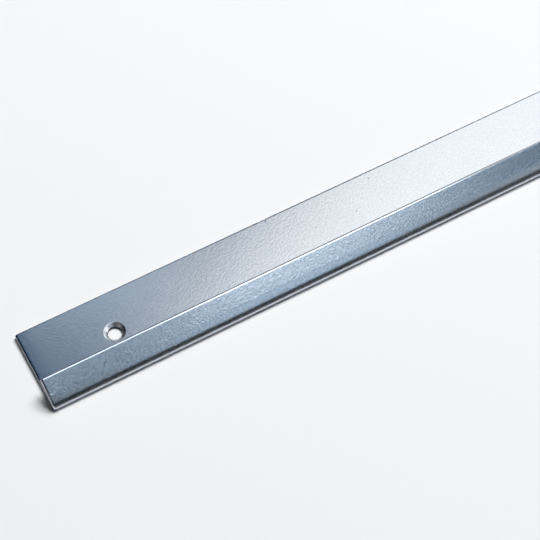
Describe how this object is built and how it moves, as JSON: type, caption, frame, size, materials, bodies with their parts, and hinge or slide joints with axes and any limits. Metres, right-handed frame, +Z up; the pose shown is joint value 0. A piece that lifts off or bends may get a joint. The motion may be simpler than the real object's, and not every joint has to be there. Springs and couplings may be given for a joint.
{
  "type": "aluminium extrusion profile",
  "caption": "Long extruded aluminium edging strip: a flat base with countersunk screw holes whose front edge folds back over it as a sloping lip with a rounded nose and an open slot.",
  "frame": {"origin": "under the middle of the piece, on the plane that the base rests on", "axes": "+X along the extrusion, +Y across it from the rounded nose towards the straight back edge, +Z up"},
  "size_m": [1, 0.034, 0.0084],
  "materials": {
    "satin_aluminium": "satin"
  },
  "bodies": {
    "root": {"edge_profile": "satin_aluminium"}
  },
  "joints": []
}
